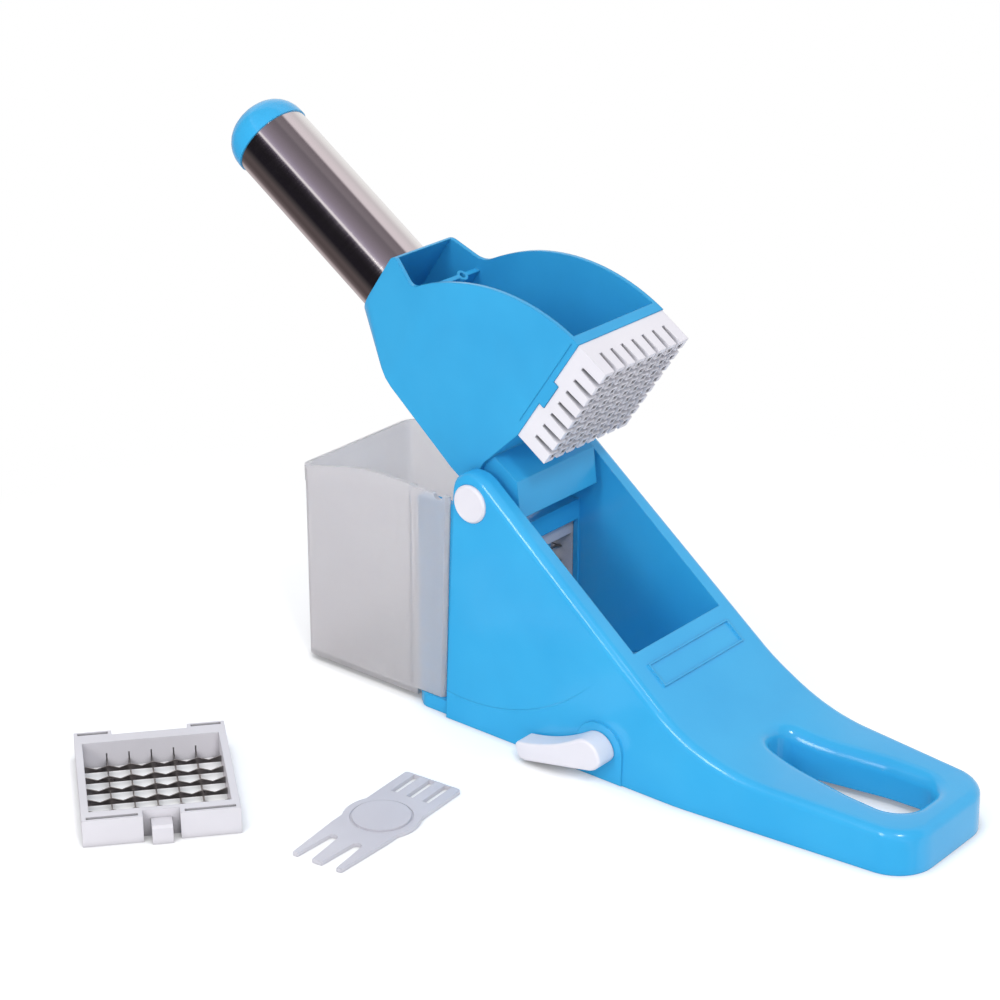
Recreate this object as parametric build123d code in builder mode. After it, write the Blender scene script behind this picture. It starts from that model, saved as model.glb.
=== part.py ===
"""Lever-press vegetable dicer: moulded base, swinging press head, blade cartridge,
chip container, suction lock, spare cartridge and cleaning comb.

Lengths are in mm.  +X points to the grip loop at the front, +Z points up, and the
origin lies on the table, on the middle plane, straight below the head's pivot axis.
The head is drawn in its open rest position.  Its own outline uses two directions:
u runs from the pivot along the pusher face, v runs back from that face to the tube.
"""
import math
import os

from build123d import *

os.makedirs("parts", exist_ok=True)

# ---------------------------------------------------------------- cutting grid
cell_pitch = 7.5
cell_count = 8
grid_size = cell_pitch * cell_count
grid_bottom = 12.0
blade_thickness = 0.5
tooth_depth = 1.7

# ---------------------------------------------------------------- pivot and head
pivot_rise = 39.0
open_angle = 56.0
side_margin = 0.6
head_margin = 0.5
head_wall = 2.2
head_back = 4.1
head_front_wall = 2.6
rim_flange = 5.0
roof_drop = 4.0
roof_lift = 1.5
roof_bend = 22.0
roof_round = 0.6
hub_shoulder = 2.6
hub_boss_radius = 8.0
hub_boss_length = 9.0
neck_beyond = 8.5
neck_length = 34.0
neck_half = 19.5
neck_blend = 5.0
neck_round = 17.0
horn_wall = 6.2
horn_round = 4.0
valley_beyond = 3.5
valley_run = 3.0
valley_round = 8.0
hub_top = 18.0
hub_front = 10.0
hub_corner = 13.0
hub_reach = 17.0
hub_low_front = 7.6
hub_nose_rise = 4.6
hub_nose_drop = 19.2
hub_chin_rise = 6.0
hub_chin_drop = 13.0
hub_back = 9.0
hub_back_low = 4.0
hub_back_high = 8.0
rib_height = 41.5
rib_hole_depth = 12.0
rib_back = 20.0
rib_column_radius = 2.9
rib_column_place = 13.0
rib_block = 4.6
seam_place = 7.0
seam_start = 7.0
seam_end = 2.5
seam_width = 0.4
seam_depth = 0.3

# ---------------------------------------------------------------- pusher
pin_length = 10.6
plate_thickness = 7.2
slot_root = 1.8
slot_mouth = 2.8
pin_recess = 3.1
pin_recess_depth = 8.0
tab_place = 29.0
tab_length = 14.0
tab_depth = 3.0
tab_gap = 0.15
screw_pitch = 30.0
screw_radius = 1.6
screw_head = 1.9
screw_bite = 5.0

# ---------------------------------------------------------------- tube handle
tube_radius = 19.0
tube_wall = 1.0
tube_length = 95.0
tube_offset = 21.5
spigot_length = 26.0
fit = 0.05
cap_height = 17.0
cap_plug = 12.0
cap_lip = 0.6
cap_crown = 15.0
crown_steps = 8

# ---------------------------------------------------------------- base body
body_margin = 13.4
grip_half = 34.0
taper_start = 120.0
front_x = 233.0
rear_x = -13.0
draft = 1.5
shell_wall = 2.4
ear_radius = 14.0
slope_angle = 38.6
hollow_radius = 100.0
grip_height = 20.0
grip_slope = 2.0
front_corner = 19.0
flank_blend = 120.0
edge_round = 4.7
floor_gap = 0.9
side_gap = 1.8
chamber_rear = 5.0
front_wall = 2.8
header_drop = 19.0
window_margin = 9.0
hub_sweep = 20.0
hub_gap = 0.6
cross_ribs = (22.0, 43.0, 116.0)
rib_width = 2.0
rib_foot = 3.0
panel_place = 97.0
panel_length = 12.5
panel_width = 60.0
panel_border = 0.9
grip_slot_rear = 140.0
grip_slot_rear_half = 7.0
grip_slot_middle = 190.0
grip_slot_waist = 15.6
grip_slot_front = 217.5
grip_slot_half = 17.0
grip_slot_front_round = 12.0
grip_slot_blend = 40.0
grip_slot_round = 7.0
lining_foot = 4.0

# ---------------------------------------------------------------- rear neck and ledge
rail_rear = -33.0
rail_wall = 4.1
rail_drop = 5.0
ledge_rear = -34.0
ledge_lip = 3.4
ledge_height = 7.0
ledge_corner = 8.0
stop_catch = 1.8
stop_gap = 0.1
stop_root = 0.5
stop_place = 10.5
stop_height = 5.0
stop_length = 4.0

# ---------------------------------------------------------------- cartridge
frame_side_bar = 4.0
frame_bottom_bar = 9.0
frame_top_bar = 8.0
frame_depth = 12.6
frame_ear = 4.0
frame_ear_width = 17.0
ear_groove_length = 13.6
bar_groove_margin = 4.0
bar_groove_lift = 2.25
groove_width = 2.0
groove_depth = 4.2
pocket_gap = 0.25
aperture_gap = 1.2
blade_front = -3.9
blade_depth = 3.1
blade_seat = 1.6
latch_width = 9.0
latch_root = 4.0
latch_wall = 1.5
latch_nose = 1.2
latch_travel = 3.0
notch_width = 16.0
notch_height = 5.0

# ---------------------------------------------------------------- container
bin_rear = -107.0
bin_bottom = 3.0
bin_wall = 1.8
bin_side_step = 0.4
bin_flange_wall = 2.2
bin_front_top = -13.8
bin_front_foot = -17.5
bin_flange_edge = 1.6
bin_height_rear = 101.5
bin_height_front = 110.0
bin_corner = 5.0
bin_gap = 0.3
bin_band = 0.4
bin_band_height = 8.0
bin_notch_place = -19.5
bin_notch_radius = 2.6
bin_join = -35.0
bin_slope_end = -58.0

# ---------------------------------------------------------------- suction lock
lock_x = 77.0
lock_z = 14.5
shaft_radius = 5.5
shaft_gap = 0.08
crank_throw = 1.6
crank_radius = 3.6
crank_half = 5.5
lever_reach = 40.0
lever_hub = 9.0
lever_neck_angle = 123.0
lever_tip_drop = 4.9
lever_tip_slant = 2.7
lever_tip_depth = 7.5
lever_toe_length = 4.1
lever_toe_drop = 0.6
lever_heel_place = 2.5
lever_heel_drop = 5.7
lever_width = 10.8
lever_gap = 0.5
lever_socket = 6.0
lever_round = 1.4
lever_tip_round = 2.4
pad_radius = 12.9
pad_height = 1.0
pad_draft = 0.4
shaft_boss_radius = 7.5
shaft_boss_length = 6.0
guide_bottom = 29.0
guide_length = 26.0
stem_top = 37.0
foot_radius = 9.0
foot_height = 1.5
cup_radius = 30.0
cup_height = 5.5
cup_clear = 0.3
cup_middle = 2.5
cup_edge = 1.2
cup_lip = 3.0
cup_shoulder = 3.0
cup_steps = 5
stem_radius = 5.0
yoke_half = 9.0
yoke_width = 4.8
yoke_bar = 4.0
yoke_gap = 0.4

# ---------------------------------------------------------------- pivot pins
pin_cap_radius = 9.0
pin_cap_height = 2.1
pin_seat_depth = 0.3
pin_cap_edge = 0.9
pin_radius = 5.0
pin_gap = 0.08

# ---------------------------------------------------------------- spare parts
spare_pitch = 10.0
spare_count = 6
spare_turn = -39.8
spare_place = (-63.0, -182.0)
comb_place = (27.8, -137.7)
comb_turn = 95.0
comb_thickness = 1.9
comb_half = 15.0
comb_end = 42.0
comb_shoulder = 12.0
comb_corner = 1.5
comb_bulge_radius = 17.3
comb_disc_place = 3.5
comb_disc_radius = 14.0
comb_disc_rise = 0.5
comb_ring_width = 1.0
comb_ring_depth = 0.5
comb_tip = 42.0
comb_tip_half = 12.9
comb_tip_width = 3.2
comb_root = 23.0
comb_root_width = 4.6
comb_waist = 14.5
comb_window_place = 32.5
comb_window_length = 17.0
comb_window_width = 3.4
comb_window_pitch = 8.5

# ---------------------------------------------------------------- worked out
pivot_height = grid_bottom + grid_size + pivot_rise
head_half = grid_size / 2 + side_margin
base_half = head_half + body_margin
chamber_half = head_half + side_gap
reach_out = pivot_height - grid_bottom
reach_in = reach_out - grid_size
head_radius = reach_out + head_margin
chamber_radius = head_radius + floor_gap
neck_end = head_radius + neck_beyond
neck_start = neck_end - neck_length
neck_rim = tube_offset + tube_radius + horn_wall
valley_rise = neck_rim + valley_beyond
rib_place = neck_end - rib_back
hub_half = head_half - hub_shoulder
header_top = pivot_height - header_drop
window_top = grid_bottom + grid_size + window_margin
frame_half = grid_size / 2 + frame_side_bar
rail_half = frame_half + rail_wall
rail_top = pivot_height - rail_drop
ledge_half = rail_half + ledge_lip
bin_flange_half = rail_half + bin_gap + bin_flange_wall
bin_half = rail_half + bin_gap + bin_side_step
cos_open = math.cos(math.radians(open_angle))
sin_open = math.sin(math.radians(open_angle))
u_dir = Vector(cos_open, 0, sin_open)
v_dir = Vector(-sin_open, 0, cos_open)
pivot = Vector(0, 0, pivot_height)
head_side = Plane(origin=pivot, x_dir=u_dir, z_dir=(0, -1, 0))
head_plan = Plane(origin=pivot, x_dir=v_dir, z_dir=u_dir)
pin_tip = plate_thickness - head_back + pin_length
pin_root = plate_thickness - head_back
pad_face = base_half + pad_height - pad_draft
cap_seat = base_half - math.tan(math.radians(draft)) * (pivot_height + pin_cap_radius) - pin_seat_depth
pocket_front = chamber_rear - front_wall
frame_front = pocket_front - pocket_gap
cup_top = cup_clear + cup_height
dome_reach = cup_radius - cup_lip
dome_rise = cup_height - cup_middle
dome_radius = (dome_reach ** 2 + dome_rise ** 2) / (2 * dome_rise)
dome_angle = math.degrees(math.asin(dome_reach / dome_radius))
crank_top = lock_z + crank_throw + crank_radius + yoke_gap
crank_low = lock_z + crank_throw - crank_radius - yoke_gap
tube_plane = Plane(origin=pivot + u_dir * tube_offset + v_dir * neck_end, x_dir=u_dir, z_dir=v_dir)
push_plane = Plane(origin=pivot + u_dir * (reach_in + grid_size / 2) + v_dir * head_back, x_dir=u_dir, z_dir=v_dir * -1)
pocket_half = frame_half + pocket_gap
pocket_bottom = grid_bottom - frame_bottom_bar - pocket_gap
pocket_top = grid_bottom + grid_size + frame_top_bar + pocket_gap
window_half = head_half + side_gap / 2
slope_normal_dir = Vector(math.sin(math.radians(slope_angle)), 0, math.cos(math.radians(slope_angle)))
slope_run_dir = Vector(math.cos(math.radians(slope_angle)), 0, -math.sin(math.radians(slope_angle)))
ear_leave = pivot + slope_normal_dir * ear_radius
slope_plane = Plane(
    origin=ear_leave + slope_run_dir * ((panel_place - ear_leave.X) / slope_run_dir.X),
    x_dir=slope_run_dir, z_dir=slope_normal_dir,
)


def hub_side(inset):
    """Side view of the hub block, moved in by inset, in the head's own directions."""
    join = hub_reach + 2 * head_wall
    with BuildSketch() as outline:
        with BuildLine():
            Polyline(
                (hub_top, join), (hub_top, -hub_low_front), (hub_nose_rise, -hub_nose_drop),
                (-hub_chin_rise, -hub_chin_drop), (-hub_back, -hub_back_low),
                (-hub_back, hub_back_high), (-roof_drop, join), close=True,
            )
        make_face()
        if inset > 0:
            offset(amount=-inset, kind=Kind.INTERSECTION, mode=Mode.REPLACE)
    return outline.sketch


def head_across(inset):
    """Form that bounds the head across, moved in by inset: flat sides, slanting roof,
    then the narrowing neck whose roof corners grow round towards the tube."""
    slim = (head_half - neck_half) / neck_length
    grow = (neck_round - roof_round) / neck_length
    slant = (roof_drop + roof_lift) / (neck_start - roof_bend)
    flare = neck_start - neck_blend
    past = neck_end + neck_blend / 2
    stations = [
        (-neck_end, -roof_drop, head_half, roof_round),
        (roof_bend, -roof_drop, head_half, roof_round),
        (flare, roof_lift - slant * neck_blend, head_half, roof_round),
        (neck_start, roof_lift, head_half - slim * neck_blend / 4, roof_round + grow),
        (neck_start + neck_blend, roof_lift, head_half - slim * neck_blend,
         roof_round + grow * neck_blend),
        (past, roof_lift, neck_half - slim * neck_blend / 2,
         neck_round + grow * neck_blend / 2),
    ]
    with BuildPart() as form:
        for back, roof, half, corner in stations:
            place = Plane(origin=pivot + u_dir * (roof + inset) + v_dir * back,
                          x_dir=u_dir, z_dir=v_dir)
            with BuildSketch(place):
                RectangleRounded(
                    2 * head_radius, 2 * (half - inset),
                    max(corner - inset, roof_round), align=(Align.MIN, Align.CENTER),
                )
        loft(ruled=True)
    return form.part


def side_plane(y_near):
    """Plane of a side view, its normal to the near side, at distance y_near."""
    return Plane.XZ.offset(y_near)


def body_side(inset):
    """Side outline of the base moved in by inset: ear arc, slope, hollow curve, grip."""
    ear = ear_radius - inset
    slope = math.radians(slope_angle)
    grip = math.radians(grip_slope)
    hollow = hollow_radius + inset
    slope_dir = Vector(math.cos(slope), -math.sin(slope))
    slope_normal = Vector(math.sin(slope), math.cos(slope))
    grip_dir = Vector(math.cos(grip), -math.sin(grip))
    grip_normal = Vector(math.sin(grip), math.cos(grip))
    centre = Vector(0, pivot_height)
    leave = centre + slope_normal * ear
    end = Vector(front_x - inset, grip_height - inset)
    run = hollow - (leave - end).dot(grip_normal) - hollow * slope_normal.dot(grip_normal)
    run = run / slope_dir.dot(grip_normal)
    start_hollow = leave + slope_dir * run
    end_hollow = start_hollow + slope_normal * hollow - grip_normal * hollow
    back = rear_x + inset
    rise = math.sqrt(ear * ear - back * back) if ear > abs(back) else 0.0
    with BuildSketch() as outline:
        with BuildLine():
            Polyline((front_x + 1, -1), (back, -1), (back, pivot_height + rise))
            ThreePointArc((back, pivot_height + rise), (0, pivot_height + ear), leave)
            Line(leave, start_hollow)
            TangentArc(start_hollow, end_hollow, tangent=slope_dir)
            Polyline(end_hollow, end + grip_dir * (inset + 1), (front_x + 1, -1))
        make_face()
    return outline.sketch


def body_plan(inset):
    """Outline of the base at table level moved in by inset."""
    wide = base_half - inset
    slim = grip_half - inset
    front = front_x - inset
    with BuildSketch() as outline:
        with BuildLine():
            Polyline(
                (rear_x + inset, -wide), (taper_start, -wide), (front, -slim),
                (front, slim), (taper_start, wide), (rear_x + inset, wide), close=True,
            )
        make_face()
        flank = outline.vertices().sort_by(lambda v: abs(v.X - taper_start))[0:2]
        fillet(flank, flank_blend)
        nose = outline.vertices().sort_by(Axis.X)[-2:]
        fillet(nose, front_corner - inset)
    return outline.sketch


def slot_plan(grow):
    """Outline of the slot in the grip loop, grown by grow: blunt front, narrow rear."""
    rear = grip_slot_rear - grow
    front = grip_slot_front + grow
    with BuildSketch() as outline:
        with BuildLine():
            Polyline(
                (rear, -grip_slot_rear_half - grow), (grip_slot_middle, -grip_slot_waist - grow),
                (front, -grip_slot_half - grow), (front, grip_slot_half + grow),
                (grip_slot_middle, grip_slot_waist + grow), (rear, grip_slot_rear_half + grow),
                close=True,
            )
        make_face()
        middle = outline.vertices().sort_by(lambda v: abs(v.X - grip_slot_middle))[0:2]
        fillet(middle, grip_slot_blend)
        fillet(outline.vertices().sort_by(Axis.X)[0:2], grip_slot_rear_half + grow)
        fillet(outline.vertices().sort_by(Axis.X)[-2:], grip_slot_front_round + grow)
    return outline.sketch


# ================================================================ base body
with BuildPart() as base_hollow:
    # space under the moulding, to be taken out of the solid body
    with BuildSketch(Plane.XZ):
        add(body_side(shell_wall))
    extrude(amount=base_half, both=True)
    with BuildSketch(Plane.XY.offset(-1)):
        add(body_plan(shell_wall))
    extrude(amount=pivot_height + ear_radius, taper=draft, mode=Mode.INTERSECT)
    # what stays: the end walls of the blade pocket
    with Locations((chamber_rear, 0, pivot_height)):
        Box(4 * base_half, 4 * base_half, 4 * pivot_height,
            align=(Align.MAX, Align.CENTER, Align.CENTER), mode=Mode.SUBTRACT)
    # what stays: the lining of the chamber and of its round floor
    with BuildSketch(Plane.XZ):
        with Locations((0, pivot_height)):
            Circle(chamber_radius + shell_wall)
    extrude(amount=chamber_half + shell_wall, both=True, mode=Mode.SUBTRACT)
    # what stays: the pivot bosses, the lining of the grip slot and the cross ribs
    with BuildSketch(Plane.XZ):
        with Locations((0, pivot_height)):
            Circle(pin_cap_radius)
    extrude(amount=base_half, both=True, mode=Mode.SUBTRACT)
    with BuildSketch(Plane.XY.offset(lining_foot)):
        add(slot_plan(shell_wall))
    extrude(amount=pivot_height, mode=Mode.SUBTRACT)
    for rib_x in cross_ribs:
        with Locations((rib_x, 0, rib_foot)):
            Box(rib_width, 2 * base_half, pivot_height,
                align=(Align.CENTER, Align.CENTER, Align.MIN), mode=Mode.SUBTRACT)

with BuildPart() as base_shell:
    # solid body with its rounded outer rim
    with BuildSketch(Plane.XZ):
        add(body_side(0))
    extrude(amount=base_half, both=True)
    with BuildSketch():
        add(body_plan(0))
    extrude(amount=pivot_height + 2 * ear_radius, taper=draft, mode=Mode.INTERSECT)
    rims = base_shell.faces().filter_by(lambda f: f.normal_at(f.center()).Z > 0.3)
    rim_edges = []
    for rim in rims:
        for edge in rim.edges():
            if abs(edge.center().Y) > grip_half / 2 or edge.center().X > front_x - edge_round:
                rim_edges.append(edge)
    fillet(rim_edges, edge_round)
    # hand opening of the grip loop
    with BuildSketch(Plane.XY.offset(-2)):
        add(slot_plan(0))
    extrude(amount=pivot_height, mode=Mode.SUBTRACT)
    slot_rim = base_shell.edges().filter_by(
        lambda e: grip_slot_rear - 1 < e.center().X < grip_slot_front + 1
        and abs(e.center().Y) < grip_slot_half + 1 and e.center().Z > grip_height / 2
        and abs(e.tangent_at(0.5).Z) < 0.9
    )
    fillet(slot_rim, grip_slot_round)
    add(base_hollow.part, mode=Mode.SUBTRACT)
    # rear neck with the rails of the container, and the ledge below it
    with BuildSketch():
        with Locations((chamber_rear, 0)):
            Rectangle(chamber_rear - rail_rear, 2 * rail_half, align=(Align.MAX, Align.CENTER))
    extrude(amount=rail_top)
    with BuildSketch():
        with Locations((chamber_rear, 0)):
            Rectangle(chamber_rear - ledge_rear, 2 * ledge_half, align=(Align.MAX, Align.CENTER))
        fillet(vertices().sort_by(Axis.X)[0:2], ledge_corner)
    extrude(amount=ledge_height)
    # arched pad behind the lever, shaft bosses and the guide of the suction stem
    with BuildSketch(side_plane(pad_face)):
        with Locations((lock_x, lock_z)):
            Circle(pad_radius)
            Rectangle(2 * pad_radius, lock_z, align=(Align.CENTER, Align.MAX))
    extrude(amount=-(pad_height + shell_wall - pad_draft))
    with BuildSketch(Plane.XZ):
        with Locations((lock_x, lock_z)):
            Circle(shaft_boss_radius)
    extrude(amount=base_half - shell_wall / 2 - pad_draft, both=True)
    with BuildSketch(Plane.XZ):
        with Locations((lock_x, lock_z)):
            Circle(shaft_boss_radius + 1)
    extrude(amount=base_half - shell_wall - shaft_boss_length, both=True, mode=Mode.SUBTRACT)
    with BuildSketch(Plane.XY.offset(guide_bottom)):
        with Locations((lock_x, 0)):
            Circle(stem_radius + shell_wall)
    extrude(amount=guide_length)
    # chamber with its round floor, open between the ears
    with BuildSketch(Plane.XZ):
        with BuildLine():
            foot = pivot_height - math.sqrt(chamber_radius ** 2 - chamber_rear ** 2)
            Polyline((chamber_rear, foot), (chamber_rear, header_top), (2 * rail_rear, header_top))
            Polyline((2 * rail_rear, header_top), (2 * rail_rear, 2 * pivot_height),
                     (chamber_radius, 2 * pivot_height), (chamber_radius, pivot_height))
            RadiusArc((chamber_radius, pivot_height), (chamber_rear, foot), chamber_radius)
        make_face()
        with Locations((0, pivot_height)):
            Circle(hub_sweep + hub_gap)
    extrude(amount=chamber_half, both=True, mode=Mode.SUBTRACT)
    # blade pocket, open to the rear, and the window in front of it
    with BuildSketch(Plane.YZ.offset(2 * rail_rear)):
        with Locations((0, pocket_bottom)):
            Rectangle(2 * pocket_half, pocket_top - pocket_bottom, align=(Align.CENTER, Align.MIN))
        for side in (-1, 1):
            with Locations((side * (frame_half - frame_ear_width / 2), pocket_top - 1)):
                Rectangle(frame_ear_width + 2 * pocket_gap, frame_ear + 1,
                          align=(Align.CENTER, Align.MIN))
    extrude(amount=pocket_front - 2 * rail_rear, mode=Mode.SUBTRACT)
    with Locations((rear_x, 0, pocket_bottom)):
        Box(-2 * rail_rear, 2 * pocket_half, 2 * pivot_height,
            align=(Align.MAX, Align.CENTER, Align.MIN), mode=Mode.SUBTRACT)
    with Locations((pocket_front - 1, 0, foot)):
        Box(front_wall + 2, 2 * window_half, window_top - foot,
            align=(Align.MIN, Align.CENTER, Align.MIN), mode=Mode.SUBTRACT)
    # stops that hold the head in its open rest position
    for side in (-1, 1):
        with BuildSketch(head_side.offset(-side * (chamber_half + stop_root))):
            with Locations((-roof_drop - stop_gap, stop_place)):
                Rectangle(stop_height, stop_length, align=(Align.MAX, Align.CENTER))
        extrude(amount=side * (side_gap + stop_catch + stop_root))
    # bores of the pivot pins with a flat seat under each cap
    with BuildSketch(Plane.XZ):
        with Locations((0, pivot_height)):
            Circle(pin_radius + fit)
    extrude(amount=2 * base_half, both=True, mode=Mode.SUBTRACT)
    for side in (-1, 1):
        with BuildSketch(side_plane(-side * cap_seat)):
            with Locations((0, pivot_height)):
                Circle(pin_cap_radius + fit)
        extrude(amount=-side * base_half, mode=Mode.SUBTRACT)
    # bore of the lever shaft, blind at the far wall, and bore of the stem guide
    with BuildSketch(side_plane(2 * base_half)):
        with Locations((lock_x, lock_z)):
            Circle(shaft_radius + shaft_gap)
    extrude(amount=-(3 * base_half - shell_wall - pad_draft), mode=Mode.SUBTRACT)
    with BuildSketch(Plane.XY.offset(guide_bottom - 1)):
        with Locations((lock_x, 0)):
            Circle(stem_radius + shaft_gap)
    extrude(amount=stem_top + 2 - guide_bottom, mode=Mode.SUBTRACT)
    # raised border of the bare panel on the slope
    with BuildSketch(slope_plane):
        Rectangle(panel_length, panel_width)
        Rectangle(panel_length - 2 * panel_border, panel_width - 2 * panel_border,
                  mode=Mode.SUBTRACT)
    extrude(amount=panel_border)
base_shell.part.label = "base_shell"

with BuildPart() as pivot_pins:
    for side in (-1, 1):
        with BuildSketch(side_plane(-side * cap_seat)):
            with Locations((0, pivot_height)):
                Circle(pin_cap_radius)
        extrude(amount=-side * pin_cap_height)
        with BuildSketch(side_plane(-side * cap_seat)):
            with Locations((0, pivot_height)):
                Circle(pin_radius)
        extrude(amount=side * (cap_seat - hub_half + hub_boss_length))
    crowns = pivot_pins.edges().filter_by(
        lambda e: abs(e.center().Y) > cap_seat + pin_cap_height / 2 and e.length > pin_cap_radius)
    chamfer(crowns, pin_cap_edge)
pivot_pins.part.label = "pivot_pins"

# ================================================================ press head
with BuildPart() as head_core:
    # space inside the head, open on its round side, and inside the hub
    with BuildSketch(head_side):
        with BuildLine():
            inner_front = head_back + head_front_wall
            open_side = head_radius + head_half
            Polyline(
                (-2 * roof_drop, hub_reach), (-2 * roof_drop, neck_end - head_front_wall),
                (open_side, neck_end - head_front_wall), (open_side, head_back + rim_flange),
                (head_radius - rim_flange, head_back + rim_flange),
                (head_radius - rim_flange, inner_front), (reach_in + head_wall, inner_front),
                (hub_top - head_wall, hub_front + head_wall), (hub_top - head_wall, hub_reach),
                close=True,
            )
        make_face()
    extrude(amount=head_half, both=True)
    add(head_across(head_wall), mode=Mode.INTERSECT)
    with BuildSketch(head_side):
        add(hub_side(head_wall))
    extrude(amount=hub_half - head_wall, both=True)
    # what stays: the cross rib with its two columns and the small block
    with BuildSketch(head_plan.offset(-head_radius)):
        with Locations((rib_place, 0)):
            Rectangle(head_wall, 2 * head_half)
        with Locations((rib_place, -rib_column_place), (rib_place, rib_column_place)):
            Circle(rib_column_radius)
        with Locations((rib_place - rib_column_radius, rib_column_place - rib_column_radius / 2)):
            Rectangle(rib_block, rib_block)
    extrude(amount=head_radius + rib_height, mode=Mode.SUBTRACT)

with BuildPart() as head_shell:
    # outer form: sector about the pivot with a neck towards the tube
    with BuildSketch(head_side):
        with BuildLine():
            rim_start = Vector(math.sqrt(head_radius ** 2 - head_back ** 2), head_back)
            valley = Vector(valley_rise, math.sqrt(head_radius ** 2 - valley_rise ** 2))
            RadiusArc(rim_start, valley, -head_radius)
            Polyline(
                valley, (neck_rim, valley.Y + valley_run), (neck_rim, neck_end),
                (-2 * roof_drop, neck_end), (-2 * roof_drop, stop_place - stop_length / 2),
                (0, hub_front - 1), (hub_corner, hub_front), (reach_in, head_back), rim_start,
            )
        make_face()
        horn = vertices().sort_by(lambda v: abs(v.X - neck_rim) + abs(v.Y - neck_end))[0]
        fillet(horn, horn_round)
        dip = vertices().sort_by(lambda v: abs(v.X - neck_rim) + abs(v.Y - valley.Y - valley_run))[0]
        fillet(dip, valley_round)
    extrude(amount=2 * head_half, both=True)
    add(head_across(0), mode=Mode.INTERSECT)
    # hub block between the ears
    with BuildSketch(head_side):
        add(hub_side(0))
    extrude(amount=hub_half, both=True)
    add(head_core.part, mode=Mode.SUBTRACT)
    # bosses and bores for the pivot pins
    for side in (-1, 1):
        with BuildSketch(side_plane(side * hub_half)):
            with Locations((0, pivot_height)):
                Circle(hub_boss_radius)
        extrude(amount=-side * hub_boss_length)
    with BuildSketch(Plane.XZ):
        with Locations((0, pivot_height)):
            Circle(pin_radius + pin_gap)
    extrude(amount=head_half, both=True, mode=Mode.SUBTRACT)
    # spigot for the tube, and holes in the rib columns
    with BuildSketch(tube_plane):
        Circle(tube_radius - tube_wall - fit)
    extrude(amount=spigot_length)
    with BuildSketch(tube_plane):
        Circle(tube_radius - tube_wall - fit - head_wall)
    extrude(amount=spigot_length + 1, mode=Mode.SUBTRACT)
    with BuildSketch(head_plan.offset(rib_height)):
        with Locations((rib_place, -rib_column_place), (rib_place, rib_column_place)):
            Circle(rib_column_radius / 2)
    extrude(amount=-rib_hole_depth, mode=Mode.SUBTRACT)
    # a tab under each side wall that locks into the pusher plate
    for side in (-1, 1):
        with BuildSketch(head_side.offset(side * head_half)):
            with Locations((reach_in + tab_place, head_back + head_front_wall)):
                Rectangle(tab_length, head_front_wall + tab_depth, align=(Align.CENTER, Align.MAX))
        extrude(amount=-side * head_wall)
    # fine seam line in each side wall above the pusher
    for side in (-1, 1):
        with BuildSketch(head_side.offset(side * (head_half + 1))):
            with Locations((reach_in + seam_start, seam_place)):
                Rectangle(head_radius - seam_end - reach_in - seam_start, seam_width,
                          align=(Align.MIN, Align.CENTER))
        extrude(amount=-side * (seam_depth + 1), mode=Mode.SUBTRACT)
    # holes for the pusher screws
    with BuildSketch(push_plane):
        with GridLocations(screw_pitch, screw_pitch, 2, 2):
            Circle(screw_radius + fit)
    extrude(amount=-2 * head_front_wall, mode=Mode.SUBTRACT)
head_shell.part.label = "head_shell"

with BuildPart() as pusher_plate:
    with BuildSketch(push_plane):
        Rectangle(grid_size, grid_size)
    extrude(amount=plate_thickness + pin_length)
    # wedge slots between the pins, once in each direction
    for step in range(1, cell_count):
        place = reach_in + step * cell_pitch
        with BuildSketch(head_side):
            with BuildLine():
                Polyline(
                    (place - slot_root / 2, -pin_root), (place + slot_root / 2, -pin_root),
                    (place + slot_mouth / 2, -pin_tip), (place - slot_mouth / 2, -pin_tip),
                    close=True,
                )
            make_face()
        extrude(amount=grid_size, both=True, mode=Mode.SUBTRACT)
        with BuildSketch(head_plan):
            with BuildLine():
                across = step * cell_pitch - grid_size / 2
                Polyline(
                    (-pin_root, across - slot_root / 2), (-pin_root, across + slot_root / 2),
                    (-pin_tip, across + slot_mouth / 2), (-pin_tip, across - slot_mouth / 2),
                    close=True,
                )
            make_face()
        extrude(amount=2 * head_radius, mode=Mode.SUBTRACT)
    # hollow pin ends
    with BuildSketch(push_plane.offset(plate_thickness + pin_length)):
        with GridLocations(cell_pitch, cell_pitch, cell_count, cell_count):
            Rectangle(pin_recess, pin_recess)
    extrude(amount=-pin_recess_depth, mode=Mode.SUBTRACT)
    # notches for the side tabs of the head, and pilot holes of the screws
    for side in (-1, 1):
        with BuildSketch(head_side.offset(side * (head_half + 1))):
            with Locations((reach_in + tab_place, head_back + 1)):
                Rectangle(tab_length + 2 * tab_gap, tab_depth + tab_gap + 1,
                          align=(Align.CENTER, Align.MAX))
        extrude(amount=-side * (head_wall + tab_gap + 1), mode=Mode.SUBTRACT)
    with BuildSketch(push_plane):
        with GridLocations(screw_pitch, screw_pitch, 2, 2):
            Circle(screw_radius + fit)
    extrude(amount=screw_bite + fit, mode=Mode.SUBTRACT)
pusher_plate.part.label = "pusher_plate"

with BuildPart() as pusher_screws:
    with BuildSketch(push_plane.offset(-head_front_wall)):
        with GridLocations(screw_pitch, screw_pitch, 2, 2):
            Circle(2 * screw_radius)
    extrude(amount=-screw_head)
    with BuildSketch(push_plane.offset(-head_front_wall)):
        with GridLocations(screw_pitch, screw_pitch, 2, 2):
            Circle(screw_radius)
    extrude(amount=head_front_wall + screw_bite)
pusher_screws.part.label = "pusher_screws"

with BuildPart() as handle_tube:
    with BuildSketch(tube_plane):
        Circle(tube_radius)
        Circle(tube_radius - tube_wall, mode=Mode.SUBTRACT)
    extrude(amount=tube_length)
handle_tube.part.label = "handle_tube"

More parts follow.
